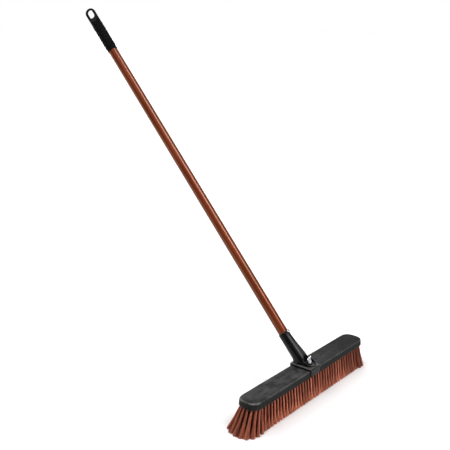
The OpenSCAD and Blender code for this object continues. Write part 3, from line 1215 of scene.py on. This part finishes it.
    def _strands(self, growth: Growth, tufts: Wire) -> Wire:
        """A point for each fibre, with its root, tip, gathering, tone with painted shade, and bow
        stored on it.

        Args:
            growth: The tree.
            tufts: A point for each tuft.

        Returns:
            The points.
        """
        value, chance, named, vector = growth.value, growth.chance, growth.named, growth.vector
        copies = {"Geometry": tufts, "Amount": value("Fibres")}
        points = growth.node("GeometryNodeDuplicateElements", {"domain": "POINT"}, copies)
        number = points.also("Duplicate Index")
        around = number * GOLDEN_ANGLE + chance(-self.jitter, self.jitter, 1)
        out = ((number + 0.5) / value("Fibres")) ** 0.5
        disc = vector(around.cos() * out, around.sin() * out, 0.0)
        gathered, spread = disc * value("Root Radius"), disc * named("splay")
        stray = vector(chance(-1, 1, 2), chance(-1, 1, 3), 0.0) * named("splay") * self.stray
        place = growth.node("GeometryNodeInputPosition")
        root = place + gathered + vector(0.0, 0.0, self.sink)
        short = chance(0.0, 1.0, 4) ** self.lift_power * value("Lift")
        drop = vector(0.0, 0.0, short + value("Fibre Radius") - value("Trim"))
        tip = place + named("reach") + spread + stray + drop
        noise = {"Vector": root, "Scale": self.clumps, "Detail": 0.0}
        clump = growth.node("ShaderNodeTexNoise", None, noise, "Fac").remap(*self.clump_span)
        shade = named("shade", "FLOAT")
        # Painted shade: the inner tufts' tone is cut, and each tuft's shade is added to it below.
        lit = shade.remap(self.inner_shade, self.outer_shade, self.inner_tone, 1.0)
        tone = (chance(0.0, self.fibre_tone, 5) + clump * self.clump_tone) * lit
        points = growth.store(points, "root", root)
        points = growth.store(points, "tip", tip)
        points = growth.store(points, "gather", gathered - spread - stray)
        points = growth.store(points, "strand", tone + shade * self.shade_tone, "FLOAT")
        return growth.store(points, "bow", chance(0.0, math.tau, 6), "FLOAT")

    def _lines(self, growth: Growth, points: Wire) -> Wire:
        """A bowed line for each fibre, gathered at its root and opening towards its tip.

        Args:
            growth: The tree.
            points: The fibres' points.

        Returns:
            The lines.
        """
        named, value = growth.named, growth.value
        ends = {"Start": (0, 0, 0), "End": (0, 0, 1)}
        line = growth.node("GeometryNodeCurvePrimitiveLine", {"mode": "POINTS"}, ends)
        line = growth.node("GeometryNodeResampleCurve", None, {"Curve": line, "Count": self.knots})
        laid = growth.strewn(points, line)
        along = growth.node("GeometryNodeSplineParameter", output="Factor")
        turn = named("bow", "FLOAT")
        swing = (along * math.pi * self.waves).sin() * value("Wave")
        held = named("gather") * (along - along ** value("Opening"))
        straight = named("root") * (1.0 - along) + named("tip") * along
        bowed = straight + held + growth.vector(turn.cos(), turn.sin(), 0.0) * swing
        return growth.node("GeometryNodeSetPosition", None, {"Geometry": laid, "Position": bowed})

    def build(self) -> None:
        """Grows and fastens the tufts of each row and end."""
        growth = self.growth()
        shared = {
            "Fibre Radius": self.fibre_radius,
            "Trim": self.block.low,
            "Lift": self.lift,
            "Wave": self.wave,
            "Fibre": BristleFinish().material(),
            "Hole": ResinFinish().material(),
        }
        sets = {f"bristle_row_{k}": self.row(k) for k in range(1, self.rows + 1)}
        sets |= {"left_end_tufts": self.end(-1), "right_end_tufts": self.end(1)}
        for seed, (node, tufts) in enumerate(sets.items()):
            straight = "row" in node
            values = shared | {
                "Fibres": self.row_fibres if straight else self.end_fibres,
                "Root Radius": self.row_root if straight else self.end_root,
                "Opening": self.row_opening if straight else self.end_opening,
                "Seed": self.seed_step * seed + self.first_seed,
            }
            mesh = growth.grow(self.seeds(node + "_seeds", tufts, seed), values)
            for name in ("root", "tip", "gather", "bow", "reach", "splay", "shade"):
                if name in mesh.attributes:
                    mesh.attributes.remove(mesh.attributes[name])
            mesh.shade_smooth()
            Bench.fasten(node + "_fibres", mesh, Body.BROOM, Slot.BRISTLE, None, node)


@dataclass
class Handle:
    """The socket, the coated tube and the grip, in the leaning frame of the handle."""

    axis_y: float = 0.015
    saddle_top: float = 0.105
    tube_r: float = 0.016
    tube_wall: float = 0.001
    tube_foot: float = 0.010
    tube_end: float = 1.373
    tube_ease: float = 0.0003
    sleeve_r: float = 0.0175
    sleeve_foot: float = 0.012
    sleeve_end: float = 0.1055
    boss_face: float = 0.0205
    screw_s: float = 0.104
    screw_r: float = 0.0025
    screw_reach: float = 0.006
    screw_point: float = 0.002
    head_r: float = 0.005
    head_h: float = 0.004
    head_side: float = 0.35
    head_round: float = 0.0022
    dome_angles: Shares = (0.4, 0.8, 1.2, 1.57)
    arm_l: float = 0.0026
    arm_t: float = 0.0005
    arm_depth: float = 0.0016
    arm_over: float = 0.001
    socket_mould: tuple[float, int] = (0.0010, 5)
    grip_mould: tuple[float, int] = (0.0009, 4)

    def along(self, distance: float) -> Matrix:
        """Frame on the handle's axis at a distance from the saddle."""
        place = Matrix.Translation((0.0, self.axis_y, self.saddle_top))
        return place @ Matrix.Rotation(-HANDLE_LEAN, 4, "X") @ Matrix.Translation((0, 0, distance))

    def tube(self) -> Mesh:
        """The tube with eased ends.

        Returns:
            The mesh, in place.
        """
        r, ease, length = self.tube_r, self.tube_ease, self.tube_end - self.tube_foot
        profile = [(r - ease, 0.0), (r, ease), (r, length - ease), (r - ease, length)]
        profile += [(r - self.tube_wall, length), (r - self.tube_wall, 0.0)]
        made = Bench.lathe("tube_shape", profile, turns=96)
        made.transform(self.along(self.tube_foot))
        Bench.smooth(made, degrees=40)
        return made

    def sleeve(self) -> Mesh:
        """The round wall that closes the boot's back over the tube.

        Returns:
            The mesh, in place.
        """
        inner, outer, foot, end = self.tube_r, self.sleeve_r, self.sleeve_foot, self.sleeve_end
        ring = [(inner, foot), (outer, foot), (outer, end), (inner, end)]
        made = Bench.lathe("sleeve_shape", ring, turns=72)
        made.transform(self.along(0.0))
        return made

    def screw(self) -> Mesh:
        """The pan-head screw with its cross recess.

        Returns:
            The mesh, in place in the socket's boss.
        """
        r, shank, h = self.head_r, self.screw_r, self.head_h
        depth, side = self.boss_face - self.tube_r + self.screw_reach, h * self.head_side
        profile = [(0.0, -depth), (shank * 0.5, -depth), (shank, -depth + self.screw_point)]
        profile += [(shank, 0.0), (r, 0.0), (r, side)]
        for a in self.dome_angles:
            rise = h * (1 - self.head_side) * math.sin(a)
            profile.append((r - self.head_round * (1 - math.cos(a)), side + rise))
        made = Bench.lathe("screw_shape", profile + [(0.0, h)], turns=48)
        arms = [self._arm(self.arm_l, self.arm_t), self._arm(self.arm_t, self.arm_l)]
        cutter = Bench.placed("recess_cutter", Bench.joined("recess", arms))
        cut = {"operation": "DIFFERENCE", "object": cutter, "use_self": True}
        made = Bench.bake(made, ("BOOLEAN", cut))
        bpy.data.objects.remove(cutter)
        seat = Matrix.Translation((0.0, -self.boss_face, 0.0))
        made.transform(self.along(self.screw_s) @ (seat @ Matrix.Rotation(math.pi / 2, 4, "X")))
        Bench.smooth(made, degrees=35)
        return made

    def _arm(self, x: float, y: float) -> Mesh:
        """One arm of the cross that is cut into the screw's head.

        Args:
            x: Half its length.
            y: Half its width.

        Returns:
            The mesh about the Z axis.
        """
        heights = (self.head_h - self.arm_depth, self.head_h + self.arm_over)
        corners = [(-x, -y), (x, -y), (x, y), (-x, y)]
        points = [(a, b, z) for z in heights for a, b in corners]
        sides = [(i, (i + 1) % 4, (i + 1) % 4 + 4, i + 4) for i in range(4)]
        return Bench.mesh("arm", points, sides + [(3, 2, 1, 0), (4, 5, 6, 7)])

    def build(self) -> None:
        """Makes and fastens the socket, the tube, the grip and the screw."""
        fasten, broom = Bench.fasten, Body.BROOM
        boot = Bench.moulded("handle_socket", *self.socket_mould, self.sleeve())
        fasten("socket_moulding", boot, broom, Slot.MOULDING, MouldingFinish(), "handle_socket")
        coat = CoatedSteelFinish()
        fasten("tube_coated", self.tube(), broom, Slot.COATED_STEEL, coat, "handle_tube")
        grip = Bench.moulded("hand_grip", *self.grip_mould)
        fasten("grip_sleeve", grip, broom, Slot.GRIP_RUBBER, GripRubberFinish(), "hand_grip")
        fasten("mouth_screw", self.screw(), broom, Slot.ZINC, ZincFinish(), "socket_screw")


@dataclass
class Fasteners:
    """The carriage bolt, its washer and the wing nut."""

    seat_z: float = 0.108
    head_z: float = 0.080
    bolt_l: float = 0.0508
    major_r: float = 0.00392
    core_r: float = 0.00335
    runout: float = 0.0006
    point_h: float = 0.0008
    point_in: float = 0.0007
    thread_pitch: float = 0.0254 / 18
    thread_l: float = 0.024
    thread_start: float = 0.0003
    thread_steps: int = 28
    thread_sides: int = 4
    crest_share: float = 0.42
    head_r: float = 0.00875
    head_h: float = 0.0036
    dome_angles: Shares = (0.0, 0.3, 0.6, 0.9, 1.2, 1.45)
    washer_r: float = 0.009
    washer_bore: float = 0.00437
    washer_t: float = 0.0045
    washer_ease: float = 0.0005
    nut_mould: tuple[float, int] = (0.00035, 5)

    def thread(self) -> Mesh:
        """The helix of the bolt's thread, grown along a spiral.

        Returns:
            The thread about the Z axis, from height 0.
        """
        sizes = dict.fromkeys(("Radius", "Crest", "Turns", "Height"), "Float")
        made = Growth("thread_growth", sizes | {"Metal": "Material"})
        path = {"Resolution": self.thread_steps, "Rotations": made.value("Turns")}
        path |= dict.fromkeys(("Start Radius", "End Radius"), made.value("Radius"))
        path["Height"] = made.value("Height")
        spiral = made.node("GeometryNodeCurveSpiral", None, path)
        made.finish(Metal=made.swept(spiral, self.thread_sides, made.value("Crest")))
        crest = self.thread_pitch * self.crest_share
        values = {
            "Radius": self.major_r - crest,
            "Crest": crest,
            "Turns": self.thread_l / self.thread_pitch,
            "Height": self.thread_l,
            "Metal": ZincFinish().material(),
        }
        return made.grow(bpy.data.meshes.new("thread_seed"), values)

    def bolt(self) -> Mesh:
        """The carriage bolt with its domed head and thread.

        Returns:
            The mesh, in place through the block and the saddle.
        """
        head, major, core, end = self.head_r, self.major_r, self.core_r, self.bolt_l
        plain = end - self.thread_l
        profile = [(head * math.sin(a), -self.head_h * math.cos(a)) for a in self.dome_angles]
        profile += [(head, 0.0), (major, 0.0), (major, plain), (core, plain + self.runout)]
        profile += [(core, end - self.point_h), (core - self.point_in, end), (0.0, end)]
        shaft, helix = Bench.lathe("bolt_core", profile, turns=48), self.thread()
        helix.transform(Matrix.Translation((0.0, 0.0, plain - self.thread_start)))
        made = Bench.joined("bolt_shape", [shaft, helix])
        made.transform(Matrix.Translation((0.0, BOLT_Y, self.head_z)))
        Bench.smooth(made, degrees=32)
        return made

    def washer(self) -> Mesh:
        """The thick moulded washer with eased rims.

        Returns:
            The mesh, in place on the saddle.
        """
        r, bore, t, ease = self.washer_r, self.washer_bore, self.washer_t, self.washer_ease
        profile = [(bore, 0.0), (r - ease, 0.0), (r, ease), (r, t - ease)]
        profile += [(r - ease, t), (bore + ease, t), (bore, t - ease)]
        made = Bench.lathe("washer_shape", profile, turns=64)
        made.transform(Matrix.Translation((0.0, BOLT_Y, self.seat_z)))
        Bench.smooth(made, degrees=32)
        return made

    def build(self) -> None:
        """Makes and fastens the bolt, the washer and the wing nut."""
        fasten, zinc, plastic = Bench.fasten, ZincFinish(), MouldingFinish()
        fasten("carriage_bolt", self.bolt(), Body.BROOM, Slot.ZINC, zinc, "mounting_bolt")
        fasten("seat_washer", self.washer(), Body.WASHER, Slot.MOULDING, plastic, "flat_washer")
        nut = Bench.moulded("wing_nut", *self.nut_mould)
        fasten("cast_wing_nut", nut, Body.NUT, Slot.ZINC, zinc, "wing_nut")


@dataclass(frozen=True)
class Lamp:
    """A softbox: its strength, where its light comes from, and the angle it fills in degrees."""

    name: str
    power: float
    source: Point
    spread: float


@dataclass
class Studio:
    """The pale floor, the soft light and the camera."""

    eye: Point = (-1.8184, -1.1921, 1.1650)
    gaze: Point = (0.7384, 0.6178, -0.2704)
    lens: float = 60.0
    sensor: float = 36.0
    sight: float = 200.0
    floor_half: float = 40.0
    floor_z: float = -0.0002
    tone_curve: float = 0.82
    room: float = 0.06
    backdrop: float = 1.4
    backdrop_from: Point = (0.15, 1.0, 0.30)
    backdrop_edge: Range = (0.35, 0.90)
    lamps: tuple[Lamp, ...] = (
        Lamp("top_softbox", 0.9, (0.12, 0.12, 1.0), 120),
        Lamp("left_softbox", 1.4, (-0.55, 0.10, 0.83), 24),
        Lamp("front_softbox", 2.1, (0.12, -1.0, 0.42), 10),
        Lamp("strip_softbox", 1.6, (0.112, -0.558, 0.8785), 30),
        Lamp("rim_softbox", 0.7, (-0.365, 0.55, 0.75), 16),
    )

    def floor(self) -> None:
        """Lays the floor just under the tips."""
        s, z = self.floor_half, self.floor_z
        corners = [(-s, -s, z), (s, -s, z), (s, s, z), (-s, s, z)]
        sheet = Bench.placed("studio_floor", Bench.mesh("floor_sheet", corners, [(0, 1, 2, 3)]))
        sheet.data.materials.append(PaperFinish().material())

    @staticmethod
    def aimed(name: str, data: Any, direction: Point, axis: str) -> bpy.types.Object:
        """Puts an object into the scene with one of its axes along a direction.

        Args:
            name: Its name.
            data: Its lamp or camera.
            direction: The direction.
            axis: The axis that is turned to it.

        Returns:
            The object.
        """
        made = Bench.placed(name, data)
        made.rotation_mode = "QUATERNION"
        made.rotation_quaternion = Vector(direction).to_track_quat(axis, "Y")
        return made

    def light(self) -> None:
        """Sets the dim room with its white backdrop, and the softboxes overhead and around."""
        scene = bpy.context.scene
        scene.view_settings.view_transform = "Standard"
        scene.view_settings.gamma = self.tone_curve
        scene.world = bpy.data.worlds.new("white_surround")
        scene.world.use_nodes = True
        graph = Graph(scene.world.node_tree)
        seen = graph.node("ShaderNodeLightPath", output="Is Camera Ray")
        outward = graph.node("ShaderNodeTexCoord", output="Generated")
        facing = {0: outward, 1: Vector(self.backdrop_from).normalized()}
        behind = graph.node("ShaderNodeVectorMath", {"operation": "DOT_PRODUCT"}, facing, "Value")
        glow = behind.remap(*self.backdrop_edge, self.room, self.backdrop)
        values = {"Color": (1.0, 1.0, 1.0), "Strength": glow + seen * (1.0 - glow)}
        sky = graph.node("ShaderNodeBackground", None, values)
        graph.node("ShaderNodeOutputWorld", None, {"Surface": sky})
        for lamp in self.lamps:
            data = bpy.data.lights.new(lamp.name, "SUN")
            data.energy, data.angle = lamp.power, math.radians(lamp.spread)
            self.aimed(lamp.name, data, lamp.source, "Z")

    def camera(self) -> None:
        """Stands the camera where the photograph was taken from."""
        data = bpy.data.cameras.new("photo_camera")
        data.lens, data.sensor_width, data.clip_end = self.lens, self.sensor, self.sight
        eye = self.aimed("photo_camera", data, self.gaze, "-Z")
        eye.location = self.eye
        bpy.context.scene.camera = eye

    def build(self) -> None:
        """Sets up the studio."""
        self.floor()
        self.light()
        self.camera()


def main() -> None:
    """Builds each sub-assembly in order."""
    logging.basicConfig(level=logging.INFO, format="%(message)s")
    Studio().build()
    block = Block()
    block.build()
    Tufts(block).build()
    Handle().build()
    Fasteners().build()


if __name__ == "__main__":
    main()
